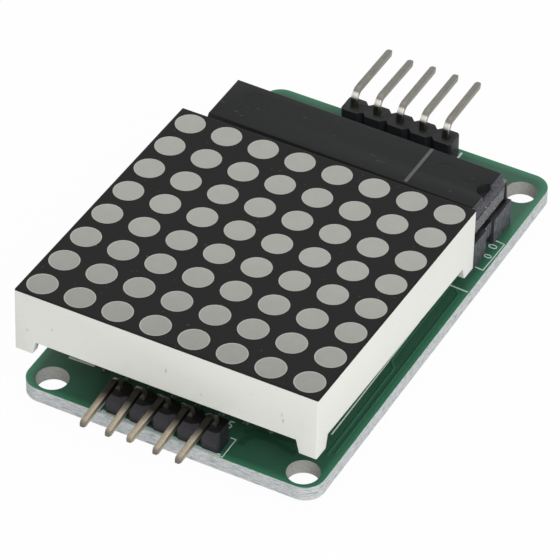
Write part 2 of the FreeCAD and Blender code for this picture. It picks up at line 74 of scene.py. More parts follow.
class Reading:
    """A value or colour that varies over a surface. Sums on values add Math nodes."""

    def __init__(self, finish, socket):
        self.finish = finish
        self.socket = socket

    def sum(self, operation, *parts):
        return self.finish.node("Math", {"operation": operation}, dict(enumerate(parts)))

    def __add__(self, other):
        return self.sum("ADD", self, other)

    def __radd__(self, other):
        return self.sum("ADD", other, self)

    def __sub__(self, other):
        return self.sum("SUBTRACT", self, other)

    def __rsub__(self, other):
        return self.sum("SUBTRACT", other, self)

    def __mul__(self, other):
        return self.sum("MULTIPLY", self, other)

    def __rmul__(self, other):
        return self.sum("MULTIPLY", other, self)

    def __truediv__(self, other):
        return self.sum("DIVIDE", self, other)

    def __rtruediv__(self, other):
        return self.sum("DIVIDE", other, self)

    def __gt__(self, other):
        return self.sum("GREATER_THAN", self, other)

    def __lt__(self, other):
        return self.sum("LESS_THAN", self, other)

    def __abs__(self):
        return self.sum("ABSOLUTE", self)


class Finish:
    """The nodes of a surface or of the room, fed with plain values, hex colours
    or readings."""

    def __init__(self, owner):
        owner.use_nodes = True
        self.owner = owner
        self.tree = owner.node_tree
        self.shader = next(node for node in self.tree.nodes
                           if node.type in ("BSDF_PRINCIPLED", "BACKGROUND"))
        self.output = next(node for node in self.tree.nodes
                           if node.type.startswith("OUTPUT"))

    def connect(self, node, name, value):
        if isinstance(value, Reading):
            self.tree.links.new(value.socket, node.inputs[name])
        else:
            node.inputs[name].default_value = paint(value) if isinstance(value, str) else value

    def node(self, kind, settings=(), inputs=(), output=0):
        made = self.tree.nodes.new("ShaderNode" + kind)
        for name, value in dict(settings).items():
            if name == "stops":
                elements = made.color_ramp.elements
                for place, _ in value[2:]:
                    elements.new(place)
                for element, (place, colour) in zip(elements, value):
                    element.position, element.color = place, paint(colour)
            else:
                setattr(made, name, value)
        for name, value in dict(inputs).items():
            self.connect(made, name, value)
        return Reading(self, made.outputs[output])

    def give(self, **values):
        for name, value in values.items():
            self.connect(self.shader, name.replace("_", " "), value)

    def blend(self, share, one, other):
        return self.node("Mix", {"data_type": "RGBA"}, {0: share, 6: one, 7: other}, 2)

    def seen_by(self, *rays):
        """1 for light rays of the named kinds and 0 for others."""
        return sum(self.node("LightPath", output=ray) for ray in rays) > 0.5

    def place(self, axis=None):
        """A point's place in the frame of the module, or one axis of it."""
        at = self.node("TexCoord", output="Object")
        return self.node("SeparateXYZ", inputs={"Vector": at}, output=axis) if axis else at

    def facing(self, axis):
        """How squarely the surface faces along an axis, from -1 to 1."""
        normal = self.node("NewGeometry", output="Normal")
        return self.node("SeparateXYZ", inputs={"Vector": normal}, output=axis)

    def noise(self, scale, detail=2.0, roughness=0.5, turn=0.0):
        """Noise with so many grains to a metre. Three scales, one for each
        axis, draw the grains out, and they can be turned about Z."""
        at = self.place()
        if isinstance(scale, tuple):
            at = self.node("Mapping", inputs={
                "Vector": at, "Rotation": (0, 0, turn), "Scale": scale})
            scale = 1.0
        return self.node("TexNoise", inputs={
            "Vector": at, "Scale": scale, "Detail": detail, "Roughness": roughness})

    def rise(self, value, start, end):
        """0 where a reading is at the start or before it, 1 from the end on."""
        return self.node("MapRange", inputs={"Value": value, "From Min": start, "From Max": end})

    def relief(self, height, depth, strength=0.5):
        """Fine unevenness of a depth in mm."""
        return self.node("Bump", inputs={
            "Height": height, "Distance": depth * mm, "Strength": strength})


def deselect():
    bpy.ops.object.select_all(action="DESELECT")


scene = bpy.context.scene
scene.view_settings.view_transform = "Standard"

room = Finish(bpy.data.worlds.new("pale_room"))
scene.world = room.owner
seen = room.seen_by("Is Camera Ray", "Is Glossy Ray", "Is Transmission Ray")
room.give(Color="#ffffff", Strength=0.52 + 0.48 * seen)

deselect()
bpy.ops.mesh.primitive_grid_add(x_subdivisions=4, y_subdivisions=4, size=6,
                                location=(0, 0, cad_low.z))
table = bpy.context.object
table.name = "table"
bpy.ops.object.transform_apply()
sheet = Finish(bpy.data.materials.new("white_sheet"))
sheet.give(Base_Color="#ececec", Roughness=0.9, Specular_IOR_Level=0.2)
glow = sheet.node("Emission", inputs={"Color": "#ffffff", "Strength": 1.0})
bare = Reading(sheet, sheet.shader.outputs[0])
seen = sheet.seen_by("Is Camera Ray", "Is Glossy Ray")
mixed = sheet.node("MixShader", inputs={0: 0.97 * seen, 1: bare, 2: glow})
sheet.connect(sheet.output, "Surface", mixed)
table.data.materials.append(sheet.owner)
table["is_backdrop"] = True

for name, spot, width, power in (("overhead_lamp", (-0.05, 0.25, 0.60), 0.4, 0.3),
                                 ("side_lamp", (0.60, -0.45, 0.60), 0.6, 5.0)):
    lamp = bpy.data.lights.new(name, "AREA")
    lamp.size = width
    lamp.energy = power
    holder = bpy.data.objects.new(name, lamp)
    scene.collection.objects.link(holder)
    holder.location = spot
    holder.rotation_euler = (-Vector(spot)).to_track_quat("-Z", "Y").to_euler()

lens = bpy.data.cameras.new("lens")
lens.lens = 315.1414
lens.sensor_width = 36
lens.clip_start, lens.clip_end = 0.01, 20
camera = bpy.data.objects.new("camera", lens)
scene.collection.objects.link(camera)
camera.location = (0.1650965, -0.3097227, 0.3119865)
camera.rotation_euler = [math.radians(turn) for turn in (48.54888, -0.15325, 28.37923)]
scene.camera = camera


# Circuit board: 1.6 mm glass-fibre laminate under green solder mask, routed to
# size, so its edge and the walls of its four screw holes show the bare fibre.
def recolour(node, material):
    """Give a solid its finish."""
    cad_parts[node].data.materials.clear()
    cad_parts[node].data.materials.append(material)


board_low, board_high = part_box("circuit_board")
board_top = board_high.z
board_middle = (board_low + board_high) / 2
board_half = (board_high - board_low) / 2
corner = 2.0 * mm
hole_x, hole_y, hole_reach = 13.3 * mm, 22.5 * mm, 1.8 * mm

mask = Finish(bpy.data.materials.new("board_green"))
x, y = mask.place("X"), mask.place("Y")
grain = mask.noise(5200.0)
green = mask.blend(mask.noise(260.0, 3.0), "#27503e", "#325e4c")
green = mask.blend(0.14 * grain, green, "#4b735f")
past_x = abs(x - board_middle.x) - (board_half.x - corner)
past_y = abs(y - board_middle.y) - (board_half.y - corner)
past_x, past_y = past_x * (past_x > 0), past_y * (past_y > 0)
beyond = mask.node("Math", {"operation": "SQRT"}, {0: past_x * past_x + past_y * past_y}) - corner
green = mask.blend(0.6 * mask.rise(beyond, -0.9 * mm, -0.05 * mm), green, "#43906a")

streaks = mask.noise((900.0, 900.0, 7000.0), 4.0, 0.7)
ends = mask.noise(4200.0)
laminate = mask.node("ValToRGB", {"stops": ((0.32, "#828d8e"), (0.46, "#babdbf"),
                                            (0.56, "#d8d9da"), (0.66, "#b7afc6"))}, {0: streaks})
laminate = mask.blend((ends > 0.6) * 0.45, laminate, "#8fb9ad")
from_hole_x, from_hole_y = abs(x) - hole_x, abs(y) - hole_y
bored = from_hole_x * from_hole_x + from_hole_y * from_hole_y < hole_reach ** 2
wall = mask.blend(bored, laminate, mask.blend(ends, "#8f908c", "#c0bebb"))
edge = abs(mask.facing("Z")) < 0.5
mask.give(Base_Color=mask.blend(edge, green, wall), Roughness=0.4 + 0.35 * edge,
          Specular_IOR_Level=0.3, Normal=mask.relief(grain + edge * streaks, 0.012))
recolour("circuit_board", mask.owner)


# Tracks: etched copper that shows as low green ridges under the solder mask,
# on both faces of the board.
def pick(*pieces):
    """Select these pieces alone and make the first one active."""
    deselect()
    for piece in pieces:
        piece.select_set(True)
    bpy.context.view_layer.objects.active = pieces[0]


def ridge(points, width, height, level):
    """A low rounded line along flat points, in mm: a chain of edges given a
    round section and pressed flat."""
    deselect()
    bpy.ops.mesh.primitive_plane_add(size=mm,
                                     location=(points[0][0] * mm, points[0][1] * mm, level))
    line = bpy.context.object
    bpy.ops.object.transform_apply()
    bpy.ops.object.mode_set(mode="EDIT")
    bpy.ops.mesh.merge(type="CENTER")
    for start, end in zip(points, points[1:]):
        step = ((end[0] - start[0]) * mm, (end[1] - start[1]) * mm, 0)
        bpy.ops.mesh.extrude_vertices_move(TRANSFORM_OT_translate={"value": step})
    bpy.ops.object.mode_set(mode="OBJECT")
    bpy.ops.object.convert(target="CURVE")
    line.data.dimensions = "3D"
    line.data.bevel_depth = width * mm / 2
    line.data.bevel_resolution = 1
    line.data.use_fill_caps = True
    bpy.ops.object.convert(target="MESH")
    line = bpy.context.object
    bpy.ops.object.mode_set(mode="EDIT")
    bpy.ops.mesh.select_all(action="SELECT")
    bpy.ops.transform.resize(value=(1, 1, 2 * height / width), center_override=(0, 0, level))
    bpy.ops.mesh.normals_make_consistent(inside=False)
    bpy.ops.object.mode_set(mode="OBJECT")
    bpy.ops.object.shade_smooth()
    return line


def together(name, pieces):
    """Join like pieces into one."""
    pick(*pieces)
    bpy.ops.object.join()
    pieces[0].name = pieces[0].data.name = name
    return pieces[0]


def mottled(name, dark, light, scale, detail, **values):
    """A plain finish, faintly mottled between two colours."""
    plain = Finish(bpy.data.materials.new(name))
    plain.give(Base_Color=plain.blend(plain.noise(scale, detail), dark, light), **values)
    return plain.owner


pin_pitch = 2.54
top_routes = [
    [(14.1, -19.5), (14.1, -6.0), (13.4, -5.2), (13.4, 9.0)],
    [(14.7, -18.9), (14.7, 6.2), (13.6, 7.3), (12.0, 8.9), (12.0, 12.0)],
    [(7.4, 22.8), (9.4, 20.9), (11.3, 19.4), (13.0, 18.6)],
    [(7.4, 24.2), (9.9, 21.7), (12.0, 20.0), (12.0, 19.0)],
    [(-9.2, 23.9), (-11.0, 22.0), (-12.6, 20.2), (-15.0, 18.0)],
]
bottom_routes = []
for i in range(12):
    across = -14.7 + i * pin_pitch
    aside = across + (0.9 if i % 2 else -0.9)
    bottom_routes.append([(across, 9.8), (across, 6.5 - 0.2 * i),
                          (aside, 5.4 - 0.2 * i), (aside, -17.0 + 0.7 * i)])
bottom_routes += [
    [(-5.8, -23.1), (-5.8, -20.5), (-8.5, -18.2), (-8.5, -14.5)],
    [(4.4, -23.1), (4.4, -20.5), (7.0, -18.0), (7.0, -14.0)],
    [(-5.8, 23.8), (-7.6, 21.8), (-7.6, 18.5)],
    [(4.4, 23.8), (6.4, 21.6), (6.4, 18.5)],
]
tracks = [ridge(route, 0.34, 0.012, board_top) for route in top_routes]
tracks += [ridge(route, 0.42, 0.022, board_low.z) for route in bottom_routes]
board_tracks = together("board_tracks", tracks)
board_tracks.data.materials.append(mottled("masked_copper", "#295a45", "#366a53", 2600.0, 3.0,
                                           Roughness=0.38, Specular_IOR_Level=0.3))
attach(board_tracks, "root")


# Track gaps: two broad curved bands beside the input header where no copper
# backs the solder mask, so the bare laminate makes it look darker.
gap_routes = [
    [(6.5, -22.1), (6.45, -21.3), (6.75, -20.7), (7.3, -20.35), (7.95, -20.2),
     (9.1, -20.25), (10.3, -20.47), (11.5, -20.7)],
    [(5.9, -20.3), (6.8, -19.87), (7.7, -19.62), (8.7, -19.49), (9.7, -19.38), (10.7, -19.28)],
]
track_gaps = together("track_gaps", [ridge(route, 0.7, 0.003, board_top) for route in gap_routes])
bpy.ops.object.shade_smooth_by_angle(angle=math.radians(30))
track_gaps.data.materials.append(mottled("mask_over_laminate", "#214738", "#295344", 2600.0, 3.0,
                                         Roughness=0.42, Specular_IOR_Level=0.3))
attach(track_gaps, "root")


# Printing: thin pale ink laid on the solder mask, the outlines of what is
# fitted and a plain number beside each header pin.
middle_x = -0.72
ink_height = 0.03
outlines = [
    ([(-7.3, -21.65), (-7.3, -24.3), (5.8, -24.3), (5.8, -21.65), (5.25, -21.65)], 0.16),
    ([(5.5, 23.6), (5.5, 25.1)], 0.3),
    ([(-7.05, -24.2), (5.55, -24.2)], 0.5),
    ([(-13.43, -19.22), (-10.66, -19.14)], 0.3),
    ([(13.2, -16.83), (13.2, 0.82)], 0.18),
    ([(14.35, 10.5), (15.2, 10.42), (15.35, 14.75), (14.4, 14.87)], 0.18),
    ([(13.4, 7.0), (15.35, 6.89)], 0.2),
]
inked = [ridge(route, width, ink_height, board_top) for route, width in outlines]
marks = [(str(i + 1), middle_x + (i - 2) * pin_pitch, along, 1.5, 0)
         for along in (-20.2, 21.6) for i in range(5)]
marks += [("0", 14.55, 13.95, 1.35, 90), ("0", 14.75, 12.45, 1.2, 90)]
for text, across, along, height, turn in marks:
    deselect()
    bpy.ops.object.text_add(location=(across * mm, along * mm, board_top),
                            rotation=(0, 0, math.radians(turn)))
    figure = bpy.context.object
    figure.data.body = text
    figure.data.size = height * mm
    figure.data.align_x = figure.data.align_y = "CENTER"
    figure.data.extrude = ink_height * mm
    figure.data.resolution_u = 3
    bpy.ops.object.convert(target="MESH")
    figure = bpy.context.object
    bpy.ops.object.transform_apply()
    inked.append(figure)
board_print = together("board_print", inked)
board_print.data.materials.clear()
board_print.data.materials.append(
    mottled("board_ink", "#a9c2b6", "#d9e2dd", 6500.0, 3.0, Roughness=0.6))
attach(board_print, "root")


# Resistor: a ceramic rod between two pressed caps under tan lacquer, its value
# painted in bands, lying across the board under the matrix.
def choose(test, kind="FACE"):
    """In edit mode, select the faces, edges or points that pass a test of
    their middle and, for a face, its normal."""
    shape = bmesh.from_edit_mesh(bpy.context.object.data)
    bpy.ops.mesh.select_mode(type=kind)
    bpy.ops.mesh.select_all(action="DESELECT")
    if kind == "FACE":
        for part in shape.faces:
            part.select_set(bool(test(part.calc_center_median(), part.normal)))
    elif kind == "EDGE":
        for part in shape.edges:
            part.select_set(bool(test(*(v.co for v in part.verts))))
    else:
        for part in shape.verts:
            part.select_set(bool(test(part.co)))
    bmesh.update_edit_mesh(bpy.context.object.data)


def push(distance, scale, centre):
    """Extrude what is selected along a step, then widen or narrow its end."""
    bpy.ops.mesh.extrude_region_move(TRANSFORM_OT_translate={"value": distance})
    bpy.ops.transform.resize(value=scale, center_override=centre)


low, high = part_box("resistor_body")
middle = (low + high) / 2
length = high.x - low.x
cap_radius = (high.z - low.z) / 2
rod_half = length * 0.22
deselect()
bpy.ops.mesh.primitive_cylinder_add(vertices=32, radius=cap_radius * 0.8, depth=2 * rod_half,
                                    location=middle, rotation=(0, math.pi / 2, 0))
resistor = bpy.context.object
resistor.name = resistor.data.name = "resistor"
bpy.ops.object.transform_apply()
bpy.ops.object.mode_set(mode="EDIT")
for side in (-1, 1):
    spot = middle + Vector((side * rod_half, 0, 0))
    choose(lambda c, n: side * n.x > 0.9 and side * (c.x - middle.x) > 0)
    for step, wider in ((0.06, 1.2), (0.05, 1.04), (0.10, 1.0),
                        (0.04, 0.93), (0.025, 0.72), (0.005, 0.4)):
        spot = spot + Vector((side * step * length, 0, 0))
        push((side * step * length, 0, 0), (1, wider, wider), spot)
bpy.ops.object.mode_set(mode="OBJECT")
bpy.ops.object.shade_smooth_by_angle(angle=math.radians(50))
lacquer = Finish(bpy.data.materials.new("resistor_lacquer"))
along = (lacquer.place("X") - low.x) / length
tan = lacquer.blend(lacquer.noise(1500.0), "#c7a676", "#b8935f")
for centre, band in ((0.19, "#7a4a1e"), (0.38, "#1a1a1a"), (0.56, "#c2361f"), (0.80, "#b98d2c")):
    tan = lacquer.blend(abs(along - centre) < 0.045, tan, band)
lacquer.give(Base_Color=tan, Roughness=0.3, Coat_Weight=0.4)
resistor.data.materials.append(lacquer.owner)
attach(resistor, "root")
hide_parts("resistor_body")


# Bypass capacitor: a ceramic block dipped in mustard resin, laid flat on the
# board, its coat rounded and running a little way down the leads.
low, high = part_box("bypass_capacitor_body")
half = (high - low) / 2
deselect()
bpy.ops.mesh.primitive_cube_add(size=2 * mm, location=(0, 0, 0))
ceramic = bpy.context.object
ceramic.name = ceramic.data.name = "bypass_capacitor"
bpy.ops.object.mode_set(mode="EDIT")
bpy.ops.mesh.select_all(action="SELECT")
bpy.ops.transform.resize(value=half / mm)
bpy.ops.mesh.subdivide(number_cuts=2)
choose(lambda c, n: n.y > 0.9)
bpy.ops.mesh.inset(thickness=0.3 * mm)
bpy.ops.transform.resize(value=(0.9, 1, 0.8), center_override=(0, half.y, 0))
bpy.ops.mesh.select_all(action="SELECT")
bpy.ops.mesh.normals_make_consistent(inside=False)
bpy.ops.object.mode_set(mode="OBJECT")
ceramic.location = (low + high) / 2
bpy.ops.object.transform_apply()
rounding = ceramic.modifiers.new("rounding", "SUBSURF")
rounding.levels = rounding.render_levels = 2
bpy.ops.object.modifier_apply(modifier="rounding")
bpy.ops.object.shade_smooth()
dip = Finish(bpy.data.materials.new("ceramic_dip"))
runs = dip.noise(900.0, 3.0)
dip.give(Base_Color=dip.blend(runs, "#b5762a", "#c98c3b"), Roughness=0.28, Coat_Weight=0.3,
         Normal=dip.relief(runs, 0.05))
ceramic.data.materials.append(dip.owner)
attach(ceramic, "root")
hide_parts("bypass_capacitor_body")


# Storage capacitor: an aluminium can in a shrunk sleeve, rolled in at the bung
# end and scored for venting at the other, laid flat under the matrix.
low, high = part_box("storage_capacitor_can")
middle = (low + high) / 2
length = high.y - low.y
can_radius = (high.z - low.z) / 2
deselect()
bpy.ops.mesh.primitive_cylinder_add(vertices=40, radius=can_radius, depth=length * 0.6,
                                    location=(middle.x, middle.y + length * 0.1, middle.z),
                                    rotation=(math.pi / 2, 0, 0))
can = bpy.context.object
can.name = can.data.name = "storage_capacitor"
bpy.ops.object.transform_apply()
bpy.ops.object.mode_set(mode="EDIT")
bung_end = ((0.05, 0.9), (0.05, 0.94), (0.05, 1.09), (0.10, 1.08), (0.05, 0.93))
vent_end = ((0.06, 1.0), (0.03, 0.95), (0.01, 0.88), (-0.02, 0.95))
for side, place, steps in ((-1, low.y + 0.3 * length, bung_end),
                           (1, high.y - 0.1 * length, vent_end)):
    choose(lambda c, n: side * n.y > 0.9 and side * (c.y - middle.y) > 0)
    for step, wider in steps:
        place += side * step * length
        push((0, side * step * length, 0), (wider, 1, wider), (middle.x, place, middle.z))
bpy.ops.object.mode_set(mode="OBJECT")
bpy.ops.object.shade_smooth_by_angle(angle=math.radians(40))
sleeve = Finish(bpy.data.materials.new("can_sleeve"))
x, y, z = (sleeve.place(axis) for axis in "XYZ")
metal = (sleeve.facing("Y") > 0.7) * (y > high.y - 0.4 * mm)
stripe = (x > middle.x + can_radius * 0.72) * (1 - metal)
score = (abs(x - middle.x) < 0.07 * mm) + (abs(z - middle.z) < 0.07 * mm)
colour = sleeve.blend(stripe, "#1f2a3d", "#b9bdc2")
colour = sleeve.blend(metal, colour, sleeve.blend(score * metal, "#c9cacb", "#77797b"))
sleeve.give(Base_Color=colour, Roughness=0.32 + 0.05 * metal, Metallic=metal)
can.data.materials.append(sleeve.owner)
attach(can, "root")
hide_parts("storage_capacitor_can")


# Wire leads and rubber bung of the small parts: tinned copper wire, formed
# down through the board, and the grey rubber that closes the can.
def tinned(name, light, dark, rough=0.3, painted_light_bands=(), painted_glint_at=None, x_faces_painted_shade=None, metal=1.0):
    """Dull tin plating, faintly streaked, over copper or steel. Each painted light band
    turns it to a colour from one place along the board to another, as painted
    shade, painted highlight or a darker tone. A painted highlight makes it pale and
    less metallic round a given point, and painted shade darkens faces along X."""
    tin = Finish(bpy.data.materials.new(name))
    streak = tin.noise((3500.0, 3500.0, 700.0), 3.0)
    dull = tin.noise(1100.0)
    colour = tin.blend(streak * 0.5 + dull * 0.5, dark, light)
    for start, end, band_colour in painted_light_bands:
        share = tin.rise(tin.place("Y"), start * mm, end * mm)
        colour = tin.blend(share, colour, band_colour)
    if painted_glint_at:
        past, above = tin.place("Y") - painted_glint_at[0] * mm, tin.place("Z") - painted_glint_at[1] * mm
        share = tin.rise(past * past + above * above, (0.4 * mm) ** 2, (0.08 * mm) ** 2)
        colour = tin.blend(share, colour, "#f6f3ea")
        metal = 1 - 0.85 * share
    if x_faces_painted_shade:
        colour = tin.blend(abs(tin.facing("X")) > 0.6, colour, x_faces_painted_shade)
    tin.give(Base_Color=colour, Metallic=metal, Roughness=rough + 0.15 * dull,
             Normal=tin.relief(streak, 0.01, 0.4))
    return tin.owner


wire_tin = tinned("wire_tin", "#c4c1ba", "#96928a")
for node in ("resistor_leads", "bypass_capacitor_leads", "storage_capacitor_leads"):
    recolour(node, wire_tin)
recolour("storage_capacitor_bung",
         mottled("bung_rubber", "#3b3b3d", "#57575a", 4000.0, 2.0, Roughness=0.85))


# Pin headers: a moulded strip of five black nylon cells at each short edge,
# with square tinned pins pressed through, bent over the edge and clipped below
# the board. The input pins carry painted shade near their bends, the output pins a
# painted highlight at the bend.
def softened(node, name, width, segments=2, angle=40):
    """A solid with its sharp corners eased, as moulding or stamping leaves them."""
    copy = bpy.data.objects.new(name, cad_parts[node].data.copy())
    copy.data.name = name
    copy.data.materials.clear()
    scene.collection.objects.link(copy)
    pick(copy)
    bpy.ops.object.mode_set(mode="EDIT")
    bpy.ops.mesh.select_all(action="SELECT")
    bpy.ops.mesh.remove_doubles(threshold=0.002 * mm)
    bpy.ops.mesh.dissolve_limited(angle_limit=math.radians(0.5))
    bpy.ops.object.mode_set(mode="OBJECT")
    ease = copy.modifiers.new("ease", "BEVEL")
    ease.width = width * mm
    ease.segments = segments
    ease.limit_method = "ANGLE"
    ease.angle_limit = math.radians(angle)
    ease.use_clamp_overlap = True
    bpy.ops.object.modifier_apply(modifier="ease")
    bpy.ops.object.shade_smooth_by_angle(angle=math.radians(35))
    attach(copy, "root")
    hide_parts(node)
    return copy


tail_ends, clipped_off = -1.3 * mm, 0.4 * mm
# Input pin bands along Y: painted shadow of the matrix, near black, from the bend out to about y
# -25.6 mm; a painted highlight, pale, on the upright parts beside the strip; darker towards the
# tips.
input_pin_painted_light = ((-27.5, -25.6, "#2f2b29"), (-23.9, -23.4, "#b9b3a8"), (-29.6, -30.1, "#716c66"))
warm_tin = tinned("pin_tin_warm", "#b5aa95", "#80786a", 0.28, input_pin_painted_light)
# Output pins: a painted highlight, pale and less metallic, round a point on the outer side of
# each bend.
grey_tin = tinned("pin_tin_grey", "#96938b", "#62605b", 0.26, painted_glint_at=(23.8, 5.45))
for side, top_shade_dark, top_shade_light, pin_finish in (("input", "#08080a", "#121214", warm_tin),
                                              ("output", "#18191a", "#28292a", grey_tin)):
    strip_nylon = Finish(bpy.data.materials.new(side + "_strip_nylon"))
    grit = strip_nylon.noise(3000.0, 4.0, 0.65)
    flow = strip_nylon.noise(140.0)
    mottle = strip_nylon.rise(grit * 0.7 + flow * 0.3, 0.35, 0.65)
    walls = strip_nylon.blend(mottle, "#161619", "#27262c")
    # Upward faces: painted shade, near black, on the input strip's tops under the matrix; on the
    # output strip about the walls' colour.
    shaded_tops = strip_nylon.blend(mottle, top_shade_dark, top_shade_light)
    strip_nylon.give(Base_Color=strip_nylon.blend(strip_nylon.facing("Z") > 0.7, walls, shaded_tops),
                     Roughness=0.45 + 0.12 * (flow - 0.5), Specular_IOR_Level=0.28,
                     Normal=strip_nylon.relief(grit, 0.012, 0.6))
    strip = softened(side + "_header_body", side + "_header", 0.05)
    strip.data.materials.append(strip_nylon.owner)
    for number in range(1, 6):
        pin = softened("%s_pin_%d" % (side, number), "%s_post_%d" % (side, number), 0.03)
        bpy.ops.object.mode_set(mode="EDIT")
        choose(lambda co: co.z < tail_ends, "VERT")
        bpy.ops.transform.translate(value=(0, 0, clipped_off))
        bpy.ops.object.mode_set(mode="OBJECT")
        pin.data.materials.append(pin_finish)


# Chip socket: an open black frame of two rails and cross bars, with a sprung
# tinned contact in each slot. It was snapped off a longer strip, so its ends
# are torn and grey. Its upward faces are painted darker than its walls, as painted shade.
socket_frame = softened("chip_socket_body", "socket_frame", 0.06)
low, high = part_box("chip_socket_body")
torn_depth = 1.2 * mm
nylon = Finish(bpy.data.materials.new("socket_plastic"))
grit = nylon.noise(3000.0, 4.0, 0.65)
walls = nylon.blend(grit, "#2b2c30", "#3c3e42")
# Upward faces painted darker than the walls: painted shade.
walls_and_shaded_top = nylon.blend(nylon.facing("Z") > 0.6, walls, nylon.blend(grit, "#121315", "#222326"))
tears = nylon.rise(nylon.noise((900.0, 5200.0, 1300.0), 3.0), 0.36, 0.64)
torn = nylon.blend(tears, "#2f3136", "#5f6167")
from_middle = abs(nylon.place("X") - (low.x + high.x) / 2)
at_end = (abs(nylon.facing("X")) > 0.6) * (from_middle > (high.x - low.x) / 2 - torn_depth)
nylon.give(Base_Color=nylon.blend(at_end, walls_and_shaded_top, torn), Roughness=0.42 + 0.14 * at_end,
           Specular_IOR_Level=0.28, Normal=nylon.relief(grit + at_end * tears, 0.02, 0.6))
socket_frame.data.materials.append(nylon.owner)
recolour("chip_socket_contacts", tinned("contact_tin", "#bab7b0", "#86837c"))


# Driver chip: black epoxy moulded round a tinned lead frame, with the pin-one
# notch, two shallow ejector marks and a plain printed bar on top. Pressed into
# the socket.
def cut_out(piece, tool, name):
    """Cut one shape out of another and throw the tool away."""
    pick(piece)
    cut = piece.modifiers.new(name, "BOOLEAN")
    cut.object = tool
    cut.solver = "EXACT"
    bpy.ops.object.modifier_apply(modifier=name)
    bpy.data.objects.remove(tool)


chip = softened("driver_chip_body", "driver_chip", 0.05, 2, 20)
chip_low, chip_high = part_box("driver_chip_body")
chip_turn = math.radians(-0.8)
first_mark, mark_step = (-12.1 * mm, 14.8 * mm), (21.1 * mm, -0.5 * mm)
deselect()
bpy.ops.mesh.primitive_cylinder_add(vertices=40, radius=1.0 * mm, depth=0.5 * mm,
                                    location=(*first_mark, chip_high.z + 0.235 * mm))
punch = bpy.context.object
bpy.ops.object.mode_set(mode="EDIT")
choose(lambda c, n: n.z < -0.9)
bpy.ops.mesh.inset(thickness=0.1 * mm)
bpy.ops.transform.translate(value=(0, 0, 0.01 * mm))
bpy.ops.mesh.select_all(action="SELECT")
bpy.ops.mesh.duplicate_move(TRANSFORM_OT_translate={"value": (*mark_step, 0)})
bpy.ops.object.mode_set(mode="OBJECT")
bpy.ops.object.transform_apply()
cut_out(chip, punch, "ejector_marks")

seam = (chip_low.z + chip_high.z) / 2
epoxy = Finish(bpy.data.materials.new("chip_epoxy"))
x, z = epoxy.place("X"), epoxy.place("Z")
grit = epoxy.noise(3600.0, 4.0, 0.7)
scratches = epoxy.noise((500.0, 4200.0, 500.0), turn=0.6) > 0.74
black = epoxy.blend(grit, "#0f1011", "#1c1d1e")
black = epoxy.blend(scratches * 0.45, black, "#6a6b6d")
end = x > chip_high.x - 0.5 * mm
below_top = z < chip_high.z - 0.06 * mm
pits = epoxy.rise(epoxy.noise(4600.0), 0.38, 0.62)
black = epoxy.blend(end * below_top * 0.8, black, epoxy.blend(pits, "#36363c", "#5c5c62"))
black = epoxy.blend(end * (z < seam) * 0.85, black, epoxy.blend(pits, "#4a4a4c", "#828284"))
black = epoxy.blend(abs(z - seam) < 0.08 * mm, black, "#121213")
epoxy.give(Base_Color=black, Roughness=0.46 + 0.15 * grit, Specular_IOR_Level=0.2,
           Normal=epoxy.relief(grit, 0.02, 0.6))
chip.data.materials.append(epoxy.owner)

deselect()
bpy.ops.mesh.primitive_cube_add(size=mm, location=(6.45 * mm, (chip_low.y + chip_high.y) / 2,
                                                   chip_high.z - 0.1 * mm))
bar = bpy.context.object
bar.name = bar.data.name = "chip_bar"
bpy.ops.transform.resize(value=(0.35, 5.6, 0.22))
bar.rotation_euler = (0, 0, chip_turn)
bpy.ops.object.transform_apply()
bpy.ops.object.mode_set(mode="EDIT")
choose(lambda a, b: abs(a.z - b.z) > 0.05 * mm, "EDGE")
bpy.ops.mesh.bevel(offset=0.1 * mm, segments=3)
bpy.ops.object.mode_set(mode="OBJECT")
bar.data.materials.append(
    mottled("chip_marking", "#3c3c3e", "#68686a", 7000.0, 3.0, Roughness=0.6))
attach(bar, "root")

chip_leads = softened("driver_chip_leads", "chip_legs", 0.04)
# Leg faces that face along X are painted near black: painted shade on the leads seen end on.
chip_leads.data.materials.append(tinned("leg_tin", "#8f8c86", "#55534f", x_faces_painted_shade="#2b2927"))


# Tie bars: the ends of the four lead frame strips that held the chip while it
# was moulded, cut off flush with its end and showing as metal dots.
dots_in_end = []
for along, level in ((12.79, 7.3), (13.87, 7.17), (14.73, 5.72), (12.32, 5.72)):
    deselect()
    bpy.ops.mesh.primitive_cylinder_add(vertices=12, radius=0.12 * mm, depth=0.3 * mm,
                                        location=(14.03 * mm, along * mm, level * mm),
                                        rotation=(0, math.pi / 2, 0))
    tie = bpy.context.object
    bpy.ops.object.transform_apply()
    bpy.ops.object.mode_set(mode="EDIT")
    choose(lambda c, n: n.x > 0.9)
    bpy.ops.mesh.bevel(offset=0.04 * mm, segments=2)
    bpy.ops.object.mode_set(mode="OBJECT")
    dots_in_end.append(tie)
tie_bars = together("chip_tie_bars", dots_in_end)
tie_bars.data.materials.clear()
tie_bars.data.materials.append(tinned("tie_bar_metal", "#a4a4a4", "#767676", 0.4))
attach(tie_bars, "root")


# Inside of the matrix: a phenolic carrier with a die under each window, milky
# resin filling the frame above it, and two rows of straight pins soldered to it.
recolour("led_carrier_board",
         mottled("carrier_tan", "#a98f5f", "#c8b184", 1800.0, 4.0, Roughness=0.55))
recolour("led_dies",
         mottled("die_grey", "#6f6f73", "#a5a5a8", 9000.0, 2.0, Roughness=0.3, Metallic=0.6))
recolour("matrix_resin",
         mottled("resin_block", "#a3a49c", "#b9bab2", 700.0, 3.0, Roughness=0.4))
# Matrix pins: painted dull greenish grey and only a little metallic, a painted reflection of the
# green board and painted shade under the matrix.
matrix_pin_green_shade = tinned("matrix_pin_green_shade", "#6f7d75", "#536059", 0.5, metal=0.3)
recolour("matrix_pins_near", matrix_pin_green_shade)
recolour("matrix_pins_far", matrix_pin_green_shade)


